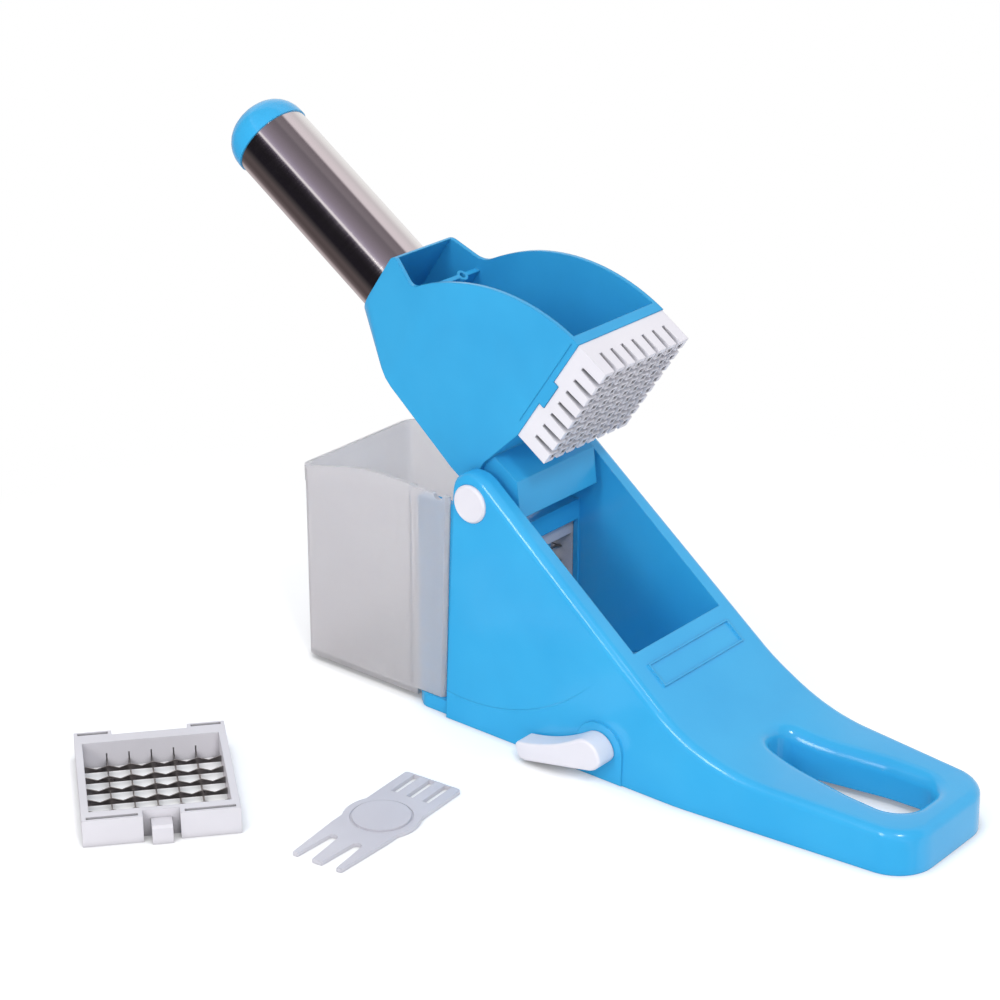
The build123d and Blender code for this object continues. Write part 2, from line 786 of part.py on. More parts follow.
with BuildPart() as handle_cap:
    # half profile of the domed cap, turned about the axis of the tube
    cap_radius = tube_radius + cap_lip
    cap_side = Plane(origin=tube_plane.origin + v_dir * tube_length, x_dir=u_dir, z_dir=(0, -1, 0))
    with BuildSketch(cap_side):
        with BuildLine():
            profile = [(0, 0), (cap_radius, 0)]
            for step in range(crown_steps + 1):
                turn = math.pi / 2 * step / crown_steps
                profile.append((
                    cap_radius - cap_crown + cap_crown * math.cos(turn),
                    cap_height - cap_crown + cap_crown * math.sin(turn),
                ))
            profile.append((0, cap_height))
            Polyline(*profile, close=True)
        make_face()
    revolve(axis=Axis(cap_side.origin, v_dir))
    with BuildSketch(tube_plane.offset(tube_length)):
        Circle(tube_radius - tube_wall - fit)
        Circle(tube_radius - tube_wall - fit - head_wall, mode=Mode.SUBTRACT)
    extrude(amount=-cap_plug)
handle_cap.part.label = "handle_cap"


# ================================================================ cartridges
def cartridge_frame(pitch, count):
    """Frame of a blade cartridge: front face on YZ at X = 0, middle of its grid on the X axis."""
    span = pitch * count
    low = -span / 2 - frame_bottom_bar
    high = span / 2 + frame_top_bar
    with BuildPart() as frame:
        with BuildSketch(Plane.YZ):
            with Locations((0, low)):
                Rectangle(2 * frame_half, high - low, align=(Align.CENTER, Align.MIN))
            for side in (-1, 1):
                with Locations((side * (frame_half - frame_ear_width / 2), high - 1)):
                    Rectangle(frame_ear_width, frame_ear + 1, align=(Align.CENTER, Align.MIN))
            Rectangle(span + aperture_gap, span + 2 * aperture_gap, mode=Mode.SUBTRACT)
            with Locations((0, low)):
                Rectangle(notch_width, 2 * notch_height, mode=Mode.SUBTRACT)
        extrude(amount=-frame_depth)
        # grooves in the front of the ears and of the bottom bar
        with BuildSketch(Plane.YZ):
            for side in (-1, 1):
                with Locations((side * (frame_half - frame_ear_width / 2), high + frame_ear / 2)):
                    Rectangle(ear_groove_length, groove_width)
                with Locations((side * (frame_half + notch_width / 2) / 2, low + bar_groove_lift)):
                    Rectangle(frame_half - notch_width / 2 - bar_groove_margin, groove_width)
        extrude(amount=-groove_depth, mode=Mode.SUBTRACT)
        # slits that hold the ends of the blades
        with BuildSketch(Plane.YZ.offset(blade_front - frame_front)):
            with GridLocations(0, pitch, 1, count - 1):
                Rectangle(span + 2 * blade_seat + aperture_gap, blade_thickness + 2 * fit)
            with GridLocations(pitch, 0, count - 1, 1):
                Rectangle(blade_thickness + 2 * fit, span + 2 * blade_seat + 2 * aperture_gap)
        extrude(amount=-2 * blade_depth - 2 * fit, mode=Mode.SUBTRACT)
    return frame.part


def cross_blades(pitch, count, depth):
    """Blades along Y with a toothed front edge, placed like cartridge_frame."""
    span = pitch * count
    reach = span / 2 + blade_seat + aperture_gap / 2 - fit
    with BuildPart() as blades:
        for step in range(1, count):
            height = step * pitch - span / 2
            with BuildSketch(Plane.XY.offset(height - blade_thickness / 2)):
                with BuildLine():
                    edge = [(-depth, reach), (-depth, -reach), (0, -reach), (0, -span / 2)]
                    for cell in range(count):
                        middle = (cell + 0.5) * pitch - span / 2
                        edge.append((-tooth_depth, middle))
                        edge.append((0, middle + pitch / 2))
                    edge.append((0, reach))
                    Polyline(*edge, close=True)
                make_face()
            extrude(amount=blade_thickness)
    return blades.part


def upright_blades(pitch, count, depth):
    """Plain blades along Z, placed like cartridge_frame."""
    span = pitch * count
    with BuildPart() as blades:
        with Locations((-depth / 2, 0, 0)):
            with GridLocations(0, pitch, 1, count - 1):
                Box(depth, blade_thickness, span + 2 * (blade_seat + aperture_gap - fit))
    return blades.part


def cartridge_latch(sprung_out):
    """Tab in the notch of the bottom bar, its lower end sprung_out beyond the frame."""
    with BuildPart() as latch:
        with BuildSketch(Plane.XZ):
            with BuildLine():
                Polyline(
                    (-latch_root, notch_height), (-latch_root, latch_nose - sprung_out),
                    (-latch_root - latch_nose, -sprung_out), (-frame_depth, -sprung_out),
                    (-frame_depth, latch_wall - sprung_out),
                    (-latch_root - latch_wall, latch_wall - sprung_out),
                    (-latch_root - latch_wall, notch_height), close=True,
                )
            make_face()
        extrude(amount=latch_width / 2, both=True)
        # side webs stiffen the tab
        for side in (-1, 1):
            with BuildSketch(Plane.XZ.offset(side * (latch_width - latch_wall) / 2)):
                with BuildLine():
                    Polyline(
                        (-latch_root - latch_wall / 2, notch_height - 1),
                        (-latch_root - latch_wall / 2, latch_wall / 2 - sprung_out),
                        (-frame_depth, latch_wall / 2 - sprung_out),
                        (-frame_depth, 2 * latch_wall - sprung_out), close=True,
                    )
                make_face()
            extrude(amount=latch_wall / 2, both=True)
    return latch.part


fitted = Location((frame_front, 0, grid_bottom + grid_size / 2))
fitted_low = Location((frame_front, 0, grid_bottom - frame_bottom_bar))
spare_lie = Location((spare_place[0], spare_place[1], frame_depth), (0, 0, spare_turn)) * Location(
    (0, 0, 0), (0, -90, 0))
spare_low = spare_lie * Location((0, 0, -spare_pitch * spare_count / 2 - frame_bottom_bar))

with BuildPart() as cartridge_body:
    add(cartridge_frame(cell_pitch, cell_count).moved(fitted))
cartridge_body.part.label = "cartridge_frame"

with BuildPart() as cartridge_cross:
    add(cross_blades(cell_pitch, cell_count, blade_depth).moved(
        fitted * Location((blade_front - frame_front, 0, 0))))
cartridge_cross.part.label = "cartridge_cross_blades"

with BuildPart() as cartridge_upright:
    add(upright_blades(cell_pitch, cell_count, blade_depth).moved(
        fitted * Location((blade_front - frame_front - blade_depth - fit, 0, 0))))
cartridge_upright.part.label = "cartridge_upright_blades"

with BuildPart() as cartridge_tab:
    add(cartridge_latch(0).moved(fitted_low))
cartridge_tab.part.label = "cartridge_latch"

with BuildPart() as spare_body:
    add(cartridge_frame(spare_pitch, spare_count).moved(spare_lie))
spare_body.part.label = "spare_frame"

with BuildPart() as spare_cross:
    add(cross_blades(spare_pitch, spare_count, blade_depth).moved(
        spare_lie * Location((blade_front - frame_front, 0, 0))))
spare_cross.part.label = "spare_cross_blades"

with BuildPart() as spare_upright:
    add(upright_blades(spare_pitch, spare_count, blade_depth).moved(
        spare_lie * Location((blade_front - frame_front - blade_depth - fit, 0, 0))))
spare_upright.part.label = "spare_upright_blades"

with BuildPart() as spare_tab:
    add(cartridge_latch(latch_travel).moved(spare_low))
spare_tab.part.label = "spare_latch"

# ================================================================ container
def above_rim(drop):
    """Side view of the space above the container's rim, lowered by drop: it falls to the rear."""
    rear = bin_height_rear - drop
    front = bin_height_front - drop
    with BuildSketch() as space:
        with BuildLine():
            Polyline((2 * bin_rear, rear), (bin_rear, rear))
            Spline((bin_rear, rear), (bin_slope_end, front), tangents=((1, 0.12), (1, 0)))
            Polyline((bin_slope_end, front), (bin_join, front), (bin_join + 2, 2 * bin_height_front),
                     (2 * bin_rear, 2 * bin_height_front), (2 * bin_rear, rear))
        make_face()
    return space.sketch


with BuildPart() as container:
    # raised band under the rim
    with BuildSketch(Plane.XY.offset(bin_bottom)):
        with Locations((bin_join, 0)):
            Rectangle(bin_join - bin_rear + bin_band, 2 * (bin_half + bin_band),
                      align=(Align.MAX, Align.CENTER))
        fillet(vertices().sort_by(Axis.X)[0:2], bin_corner + bin_band)
    extrude(amount=bin_height_front - bin_bottom)
    with BuildSketch(Plane.XZ):
        add(above_rim(bin_band_height))
    extrude(amount=2 * base_half, both=True, mode=Mode.INTERSECT)
    # box behind the base, and the flange that goes over the rails
    with BuildSketch(Plane.XY.offset(bin_bottom)):
        with Locations((bin_join, 0)):
            Rectangle(bin_join - bin_rear, 2 * bin_half, align=(Align.MAX, Align.CENTER))
        fillet(vertices().sort_by(Axis.X)[0:2], bin_corner)
    extrude(amount=bin_height_front - bin_bottom)
    with BuildSketch(Plane.XZ):
        with BuildLine():
            flange_foot = ledge_height + bin_gap
            Polyline(
                (bin_join - bin_wall, flange_foot), (bin_front_foot, flange_foot),
                (bin_front_top, bin_height_front), (bin_join - bin_wall, bin_height_front),
                close=True,
            )
        make_face()
    extrude(amount=bin_flange_half, both=True)
    corners = container.edges().filter_by(
        lambda e: abs(e.tangent_at(0.5).Z) > 0.9 and e.center().X > bin_join / 2 - 2)
    chamfer(corners, bin_flange_edge)
    with BuildSketch(Plane.XY.offset(bin_bottom + bin_wall)):
        with Locations((bin_join + 1, 0)):
            Rectangle(bin_join - bin_rear - bin_wall + 1, 2 * (bin_half - bin_wall),
                      align=(Align.MAX, Align.CENTER))
        fillet(vertices().sort_by(Axis.X)[0:2], bin_corner - bin_wall)
    extrude(amount=2 * bin_height_front, mode=Mode.SUBTRACT)
    with Locations((bin_join, 0, -1)):
        Box(2 * base_half, 2 * (rail_half + bin_gap), 4 * bin_height_front,
            align=(Align.MIN, Align.CENTER, Align.CENTER), mode=Mode.SUBTRACT)
    # small finger notch in the top edge of the flange, then the rim itself
    with BuildSketch(Plane.XZ):
        with Locations((bin_notch_place, bin_height_front)):
            Circle(bin_notch_radius)
    extrude(amount=base_half, both=True, mode=Mode.SUBTRACT)
    with BuildSketch(Plane.XZ):
        add(above_rim(0))
    extrude(amount=2 * base_half, both=True, mode=Mode.SUBTRACT)
container.part.label = "container"

# ================================================================ suction lock
def lever_side():
    """Side view of the lever about its shaft: round hub, sagging arm, blunt tip."""
    neck_turn = math.radians(lever_neck_angle)
    neck = (lever_hub * math.cos(neck_turn), lever_hub * math.sin(neck_turn))
    tip = (-lever_reach, -lever_tip_drop)
    tip_foot = (lever_tip_slant - lever_reach, -lever_tip_drop - lever_tip_depth)
    toe = (tip_foot[0] + lever_toe_length, tip_foot[1] - lever_toe_drop)
    heel = (lever_heel_place, -lever_heel_drop)
    with BuildSketch() as outline:
        with BuildLine():
            CenterArc((0, 0), lever_hub, 0, lever_neck_angle)
            TangentArc(neck, tip, tangent=(-math.sin(neck_turn), math.cos(neck_turn)))
            Polyline(tip, tip_foot, toe, heel)
            TangentArc(heel, (lever_hub, 0), tangent=(heel[0] - toe[0], heel[1] - toe[1]))
        make_face()
        fillet(outline.vertices().sort_by(Axis.X)[0:3], lever_tip_round)
    return outline.sketch


with BuildPart() as cam_shaft:
    lever_face = pad_face + lever_gap
    with BuildSketch(side_plane(lever_face + lever_socket - fit)):
        with Locations((lock_x, lock_z)):
            Circle(shaft_radius)
    extrude(amount=-(lever_face + lever_socket - fit - crank_half))
    with BuildSketch(side_plane(crank_half)):
        with Locations((lock_x, lock_z + crank_throw)):
            Circle(crank_radius)
    extrude(amount=-2 * crank_half)
    with BuildSketch(side_plane(-crank_half)):
        with Locations((lock_x, lock_z)):
            Circle(shaft_radius)
    extrude(amount=-(base_half - shell_wall - 2 * pad_draft - crank_half))
cam_shaft.part.label = "cam_shaft"

with BuildPart() as suction_lever:
    with BuildSketch(side_plane(lever_face)):
        with Locations((lock_x, lock_z)):
            add(lever_side())
    extrude(amount=lever_width)
    fillet(suction_lever.faces().sort_by(Axis.Y)[0].edges(), lever_round)
    with BuildSketch(side_plane(lever_face - 1)):
        with Locations((lock_x, lock_z)):
            Circle(shaft_radius + fit)
    extrude(amount=lever_socket + 1, mode=Mode.SUBTRACT)
suction_lever.part.label = "suction_lever"

with BuildPart() as suction_stem:
    # guide pin, C-shaped yoke round the crank, and the foot on the cup
    with BuildSketch(Plane.XY.offset(cup_top)):
        with Locations((lock_x, 0)):
            Circle(foot_radius)
    extrude(amount=foot_height)
    with BuildSketch(Plane.XZ):
        with Locations((lock_x, cup_top)):
            Rectangle(2 * yoke_half, crank_top + yoke_bar - cup_top, align=(Align.CENTER, Align.MIN))
        with Locations((lock_x + yoke_half + 1, (crank_top + crank_low) / 2)):
            Rectangle(yoke_half + 1 + crank_radius + yoke_gap, crank_top - crank_low,
                      align=(Align.MAX, Align.CENTER), mode=Mode.SUBTRACT)
    extrude(amount=yoke_width, both=True)
    with BuildSketch(Plane.XY.offset(crank_top + yoke_bar)):
        with Locations((lock_x, 0)):
            Circle(stem_radius)
    extrude(amount=stem_top - crank_top - yoke_bar)
suction_stem.part.label = "suction_stem"

with BuildPart() as suction_cup:
    # flexible disc, hollow below, with a thin lip that rests on the table
    with BuildSketch(Plane.XZ):
        with BuildLine():
            dome = cup_clear + cup_height - cup_middle
            profile = [
                (lock_x, cup_top), (lock_x + foot_radius + cup_shoulder, cup_top),
                (lock_x + cup_radius, cup_clear + cup_edge), (lock_x + cup_radius, cup_clear),
            ]
            for step in range(cup_steps + 1):
                turn = math.radians(dome_angle) * (1 - step / cup_steps)
                profile.append((
                    lock_x + dome_radius * math.sin(turn),
                    dome - dome_radius + dome_radius * math.cos(turn),
                ))
            Polyline(*profile, close=True)
        make_face()
    revolve(axis=Axis((lock_x, 0, 0), (0, 0, 1)))
suction_cup.part.label = "suction_cup"

# ================================================================ cleaning comb
comb_plane = Plane(Location((comb_place[0], comb_place[1], 0), (0, 0, comb_turn)))
with BuildPart() as cleaning_comb:
    # body with its bulging middle, and the three tapering tines
    with BuildSketch(comb_plane):
        with BuildLine():
            Polyline((0, comb_half), (0, -comb_half), (comb_end, -comb_half),
                     (comb_end, comb_half), close=True)
        make_face()
        with BuildLine():
            Polyline((-comb_tip, comb_tip_half), (-comb_tip, -comb_tip_half),
                     (-comb_shoulder, -comb_half), (1, -comb_half), (1, comb_half),
                     (-comb_shoulder, comb_half), close=True)
        make_face()
        fillet(vertices().sort_by(Axis.X)[-2:], comb_corner)
        with Locations((comb_disc_place, 0)):
            Circle(comb_bulge_radius)
        for side in (-1, 1):
            slit = (comb_tip_half - comb_tip_width - comb_tip_width / 2) / 2
            middle = (comb_tip_half - comb_tip_width / 2) / 2 * side + comb_tip_width / 4 * side
            with BuildLine():
                Polyline(
                    (-comb_root, middle - comb_root_width / 2),
                    (-comb_tip - 1, middle - slit), (-comb_tip - 1, middle + slit),
                    (-comb_root, middle + comb_root_width / 2), close=True,
                )
            make_face(mode=Mode.SUBTRACT)
            with Locations((-comb_root, middle)):
                Circle(comb_root_width / 2, mode=Mode.SUBTRACT)
        with Locations((comb_window_place, 0)):
            with GridLocations(0, comb_window_pitch, 1, 3):
                Rectangle(comb_window_length, comb_window_width, mode=Mode.SUBTRACT)
    extrude(amount=comb_thickness)
    # raised disc with a ring groove round it
    with BuildSketch(comb_plane.offset(comb_thickness)):
        with Locations((comb_disc_place, 0)):
            Circle(comb_disc_radius)
            Circle(comb_disc_radius - comb_ring_width, mode=Mode.SUBTRACT)
    extrude(amount=-comb_ring_depth, mode=Mode.SUBTRACT)
    with BuildSketch(comb_plane.offset(comb_thickness)):
        with Locations((comb_disc_place, 0)):
            Circle(comb_disc_radius - comb_ring_width)
    extrude(amount=comb_disc_rise)
cleaning_comb.part.label = "cleaning_comb"

nodes = [
    base_shell, pivot_pins, head_shell, pusher_plate, pusher_screws, handle_tube, handle_cap,
    cartridge_body, cartridge_cross, cartridge_upright, cartridge_tab, container,
    cam_shaft, suction_lever, suction_stem, suction_cup,
    spare_body, spare_cross, spare_upright, spare_tab, cleaning_comb,
]
for node in nodes:
    export_step(node.part, f"parts/{node.part.label}.step")
    box = node.part.bounding_box()
    print(node.part.label, len(node.part.solids()), round(node.part.volume / 1000, 2),
          [round(v, 1) for v in (*box.min, *box.max)])
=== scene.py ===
"""Looks of the lever-press vegetable dicer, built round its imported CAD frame."""
import math

import bpy
import numpy as np
from mathutils import Matrix, Vector


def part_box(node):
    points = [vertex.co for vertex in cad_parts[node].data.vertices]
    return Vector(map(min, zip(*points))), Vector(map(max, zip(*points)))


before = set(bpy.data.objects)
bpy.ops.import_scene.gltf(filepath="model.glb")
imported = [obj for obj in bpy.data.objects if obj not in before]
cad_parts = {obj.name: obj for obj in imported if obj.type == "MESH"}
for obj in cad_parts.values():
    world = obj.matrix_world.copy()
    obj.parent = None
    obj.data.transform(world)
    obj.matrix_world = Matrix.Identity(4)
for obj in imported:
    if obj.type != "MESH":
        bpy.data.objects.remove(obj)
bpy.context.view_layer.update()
MM = 0.001


# ---------------------------------------------------------------- colour and nodes
def colour(hex_code):
    """sRGB hex to linear: below 0.04045 divide by 12.92, else ((c + 0.055) / 1.055) ** 2.4."""
    parts = np.array([int(hex_code[i:i + 2], 16) / 255 for i in (1, 3, 5)])
    linear = np.where(parts <= 0.04045, parts / 12.92, ((parts + 0.055) / 1.055) ** 2.4)
    return (*[float(v) for v in linear], 1.0)


def node(tree, kind, settings=None, inputs=None, stops=(), **values):
    """Adds a node: settings are its properties, inputs and values what goes into it.

    An input is named or numbered, a value is named, and either is a plain value or another
    node's output. stops are the places and hex colours of a node that has a colour ramp."""
    made = tree.nodes.new(kind)
    for key, value in (settings or {}).items():
        setattr(made, key, value)
    named = {key.replace("_", " "): value for key, value in values.items()}
    for key, value in {**named, **(inputs or {})}.items():
        if isinstance(value, bpy.types.NodeSocket):
            tree.links.new(value, made.inputs[key])
        else:
            made.inputs[key].default_value = value
    for _ in stops[2:]:
        made.color_ramp.elements.new(0.5)
    for number, (position, code) in enumerate(stops):
        made.color_ramp.elements[number].position = position
        made.color_ramp.elements[number].color = colour(code)
    return made


def blank(made):
    """Empties the node tree of a material or world, and gives the tree."""
    made.use_nodes = True
    made.node_tree.nodes.clear()
    return made.node_tree


def material(name):
    """Empty node material with its shader on its output, and Object coordinates."""
    made = bpy.data.materials.new(name)
    tree = blank(made)
    shader = node(tree, "ShaderNodeBsdfPrincipled")
    node(tree, "ShaderNodeOutputMaterial", Surface=shader.outputs["BSDF"])
    place = node(tree, "ShaderNodeTexCoord").outputs["Object"]
    return made, tree, shader, place


# ---------------------------------------------------------------- plastics
def painted_recess_shade(tree, shade, depth_mm):
    """The colour shade, darkened by ambient occlusion to three tenths in slots and bores of
    about depth_mm: painted shade.
    """
    hollow = node(tree, "ShaderNodeAmbientOcclusion", {"samples": 6}, Color=shade,
                  Distance=depth_mm * MM)
    open_part = node(tree, "ShaderNodeMapRange", Value=hollow.outputs["AO"],
                     From_Min=0.1, From_Max=0.6, To_Min=0.3, To_Max=1.0)
    # painted shade: the colour is scaled down where the surface is enclosed
    painted_shade_colour = node(tree, "ShaderNodeVectorMath", {"operation": "SCALE"}, {0: shade},
                  Scale=open_part.outputs["Result"])
    return painted_shade_colour.outputs["Vector"]


def sink_mark(tree, place, skin, radius_mm):
    """A groove round the head's swing axis, as a bump over the normal of the bump node skin.

    Its height is a smooth step over half_width of the distance from a circle of radius_mm
    round the axis. From start to end up the part that distance is made longer by up to
    half_width, so the groove runs out there."""
    axis, half_width, start, end = (0, 0, 111 * MM), 0.8 * MM, 28 * MM, 48 * MM
    flat = node(tree, "ShaderNodeVectorMath", {"operation": "MULTIPLY"},
                {0: place, 1: (1, 0, 1)})
    reach = node(tree, "ShaderNodeVectorMath", {"operation": "DISTANCE"},
                 {0: flat.outputs["Vector"], 1: axis})
    past = node(tree, "ShaderNodeMath", {"operation": "SUBTRACT"},
                {0: reach.outputs["Value"], 1: radius_mm * MM})
    away = node(tree, "ShaderNodeMath", {"operation": "ABSOLUTE"}, {0: past.outputs["Value"]})
    height = node(tree, "ShaderNodeSeparateXYZ", Vector=place).outputs["Z"]
    fade = node(tree, "ShaderNodeMapRange", Value=height, From_Min=start, From_Max=end,
                To_Min=0.0, To_Max=half_width)
    off = node(tree, "ShaderNodeMath", {"operation": "ADD"},
               {0: away.outputs["Value"], 1: fade.outputs["Result"]})
    mark = node(tree, "ShaderNodeMapRange", {"interpolation_type": "SMOOTHSTEP"},
                Value=off.outputs["Value"], From_Min=0.0, From_Max=half_width)
    return node(tree, "ShaderNodeBump", Height=mark.outputs["Result"],
                Normal=skin.outputs["Normal"], Strength=0.9, Distance=0.3 * MM)


def moulded(name, low, high, roughness, grain_mm=1.2, grain_depth_mm=0.012, edge_mm=0.5,
            scatter=0.0, recess_mm=0.0, mark_mm=0.0, gloss=0.5):
    """Injection-moulded plastic: slow flow shading of colour, and the fine skin of the mould.

    Colour runs between low and high over noise of 45 mm. Roughness varies by about a fifth over
    noise of 18 mm, where hands wipe the plastic. The bump is noise of grain_mm, drawn coarser
    than the real skin so that it shows. Moulded edges are never quite sharp, so they catch the
    light over edge_mm. recess_mm is the depth of the recesses whose colour is darkened as
    painted shade, and mark_mm the radius of the sink mark."""
    made, tree, shader, place = material(name)
    flow = node(tree, "ShaderNodeTexNoise", Vector=place, Scale=1 / (45 * MM), Detail=3.0)
    shade = node(tree, "ShaderNodeValToRGB", Fac=flow.outputs["Fac"],
                 stops=[(0.35, low), (0.65, high)]).outputs["Color"]
    # painted shade: with recess_mm, the colour darkens in recesses of that depth
    if recess_mm:
        shade = painted_recess_shade(tree, shade, recess_mm)
    tree.links.new(shade, shader.inputs["Base Color"])
    wipe = node(tree, "ShaderNodeTexNoise", Vector=place, Scale=1 / (18 * MM), Detail=4.0)
    rough = node(tree, "ShaderNodeMapRange", Value=wipe.outputs["Fac"], From_Min=0.3,
                 From_Max=0.7, To_Min=roughness * 0.85, To_Max=roughness * 1.2)
    tree.links.new(rough.outputs["Result"], shader.inputs["Roughness"])
    grain = node(tree, "ShaderNodeTexNoise", Vector=place, Scale=1 / (grain_mm * MM),
                 Detail=2.0)
    soft = node(tree, "ShaderNodeBevel", {"samples": 4}, Radius=edge_mm * MM)
    skin = node(tree, "ShaderNodeBump", Height=grain.outputs["Fac"],
                Normal=soft.outputs["Normal"], Strength=0.5, Distance=grain_depth_mm * MM)
    if mark_mm:
        skin = sink_mark(tree, place, skin, mark_mm)
    tree.links.new(skin.outputs["Normal"], shader.inputs["Normal"])
    shader.inputs["IOR"].default_value = 1.53
    shader.inputs["Specular IOR Level"].default_value = gloss
    if scatter:
        shader.inputs["Subsurface Weight"].default_value = scatter
        shader.inputs["Subsurface Radius"].default_value = (1.0, 1.0, 1.0)
        shader.inputs["Subsurface Scale"].default_value = 1.5 * MM
    return made


def frosted_plastic():
    """Translucent polypropylene with a frosted skin: light comes through it, but no shape
    behind it stays clear.

    Colour varies over noise of 30 mm. The bump is noise of 0.7 mm, drawn coarser than the
    real frosting so that it shows."""
    made, tree, shader, place = material("frosted_polypropylene")
    cloud = node(tree, "ShaderNodeTexNoise", Vector=place, Scale=1 / (30 * MM), Detail=4.0)
    shade = node(tree, "ShaderNodeValToRGB", Fac=cloud.outputs["Fac"],
                 stops=[(0.3, "#FAF6F8"), (0.7, "#FFFCFD")])
    tree.links.new(shade.outputs["Color"], shader.inputs["Base Color"])
    frost = node(tree, "ShaderNodeTexNoise", Vector=place, Scale=1 / (0.7 * MM), Detail=2.0)
    bump = node(tree, "ShaderNodeBump", Height=frost.outputs["Fac"], Strength=0.4,
                Distance=0.02 * MM)
    tree.links.new(bump.outputs["Normal"], shader.inputs["Normal"])
    shader.inputs["Roughness"].default_value = 0.3
    shader.inputs["IOR"].default_value = 1.49
    shader.inputs["Transmission Weight"].default_value = 0.68
    shader.inputs["Subsurface Weight"].default_value = 0.3
    shader.inputs["Subsurface Radius"].default_value = (1.0, 1.0, 1.0)
    shader.inputs["Subsurface Scale"].default_value = 2 * MM
    return made


# ---------------------------------------------------------------- metals
def polished_tube_steel():
    """Drawn and polished stainless tube: a mirror with hair-fine polishing lines round it.

    The lines are noise of 12 mm round the tube and 0.35 mm along it, on axes turned to the
    tube, and they vary its roughness and its height."""
    made, tree, shader, place = material("polished_stainless_tube")
    low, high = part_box("handle_tube")
    start, end = Vector((low[0], 0, high[2])), Vector((high[0], 0, low[2]))
    turn = (end - start).to_track_quat("Z", "Y").to_euler()
    lines = node(tree, "ShaderNodeMapping", {"vector_type": "TEXTURE"}, Vector=place,
                 Rotation=turn, Scale=(12 * MM, 12 * MM, 0.35 * MM))
    scratch = node(tree, "ShaderNodeTexNoise", Vector=lines.outputs["Vector"], Scale=1.0,
                   Detail=3.0)
    rough = node(tree, "ShaderNodeMapRange", Value=scratch.outputs["Fac"], From_Min=0.3,
                 From_Max=0.7, To_Min=0.06, To_Max=0.14)
    tree.links.new(rough.outputs["Result"], shader.inputs["Roughness"])
    bump = node(tree, "ShaderNodeBump", Height=scratch.outputs["Fac"], Strength=0.12,
                Distance=0.004 * MM)
    tree.links.new(bump.outputs["Normal"], shader.inputs["Normal"])
    shader.inputs["Base Color"].default_value = colour("#DEDAD8")
    shader.inputs["Metallic"].default_value = 1.0
    return made


def ground_steel(name, shade, roughness):
    """Ground or plated steel: its roughness varies over noise of 0.8 mm, a grit drawn
    coarser than the real one so that it shows."""
    made, tree, shader, place = material(name)
    grit = node(tree, "ShaderNodeTexNoise", Vector=place, Scale=1 / (0.8 * MM), Detail=2.0)
    rough = node(tree, "ShaderNodeMapRange", Value=grit.outputs["Fac"], From_Min=0.3,
                 From_Max=0.7, To_Min=roughness * 0.8, To_Max=roughness * 1.3)
    tree.links.new(rough.outputs["Result"], shader.inputs["Roughness"])
    shader.inputs["Base Color"].default_value = colour(shade)
    shader.inputs["Metallic"].default_value = 1.0
    return made


# ---------------------------------------------------------------- finishes of the pieces
# Blue ABS from a polished mould: clear soft highlights, faint flow marks, and on the sides
# of the base a shallow sink mark.
blue_abs = moulded("blue_abs_moulded", "#38AEE7", "#3EB4EB", 0.17, 1.4, 0.006, edge_mm=0.8,
                   mark_mm=98.0)
# The same ABS on the head, a shade deeper and less glossy.
head_abs = moulded("blue_abs_head", "#37A5DC", "#3BADE3", 0.22, 1.4, 0.006, edge_mm=0.8,
                   gloss=0.28)
# White ABS: satin, cool and slightly deep, so that its shaded sides stay light.
white_abs = moulded("white_abs_moulded", "#EAE7EE", "#F0EDF3", 0.34, scatter=0.15)
# Dense white ABS of the pusher: in its narrow slots and pin bores its colour darkens to grey as
# painted shade.
pusher_abs = moulded("white_abs_pusher", "#E9E6EC", "#EFECF1", 0.36, recess_mm=5.0)
# The same white ABS on the spare cartridge, duller, with its colour greyed as painted shade and
# darkened in its recesses as painted shade.
painted_grey_spare_abs = moulded("white_abs_cartridges", "#DDDADF", "#E5E2E7", 0.38, recess_mm=6.0)
# The same white ABS on the fitted cartridge, with its colour darker still as painted shade, and
# deep in its window darkened further as painted shade in its recesses.
painted_dark_fitted_abs = moulded("white_abs_fitted_cartridge", "#CFCBCE", "#D7D3D6", 0.38, recess_mm=25.0)
# The comb is thin, cool white ABS that lets a little light into it; its colour is greyed as
# painted shade.
painted_grey_comb_abs = moulded("white_abs_comb", "#D0CED6", "#D8D6DD", 0.38, scatter=0.15)
# Black-grey rubber of the suction cup: dull, with a fine blush.
rubber = moulded("cup_rubber_moulded", "#1B1B1D", "#232326", 0.62, 0.6, 0.02)
# The container and the tube, which each have a finish of their own.
frosted = frosted_plastic()
tube_steel = polished_tube_steel()
# Stainless blades are grey with a soft sheen, and zinc-plated screws are paler.
blade_steel = ground_steel("ground_stainless_blade", "#A8A4A1", 0.34)
screw_steel = ground_steel("zinc_plated_screw", "#BDBEC2", 0.35)


def dress(name, finish):
    """Gives a CAD node its finish, and smooth shading split where faces meet at 28 degrees."""
    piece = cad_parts[name]
    piece.data.materials.clear()
    piece.data.materials.append(finish)
    piece.data.polygons.foreach_set("use_smooth", [True] * len(piece.data.polygons))
    weld = piece.modifiers.new("weld", "WELD")
    weld.merge_threshold = 0.001 * MM
    split = piece.modifiers.new("split", "EDGE_SPLIT")
    split.split_angle = math.radians(28)


finishes = {
    "base_shell": blue_abs, "head_shell": head_abs, "handle_cap": blue_abs,
    "pivot_pins": white_abs, "pusher_plate": pusher_abs, "cartridge_frame": painted_dark_fitted_abs,
    "cartridge_latch": painted_dark_fitted_abs, "cam_shaft": white_abs, "suction_lever": white_abs,
    "suction_stem": white_abs, "spare_frame": painted_grey_spare_abs, "spare_latch": painted_grey_spare_abs,
    "cleaning_comb": painted_grey_comb_abs, "container": frosted, "handle_tube": tube_steel,
    "cartridge_cross_blades": blade_steel, "cartridge_upright_blades": blade_steel,
    "spare_cross_blades": blade_steel, "spare_upright_blades": blade_steel,
    "pusher_screws": screw_steel, "suction_cup": rubber,
}
for name, finish in finishes.items():
    dress(name, finish)


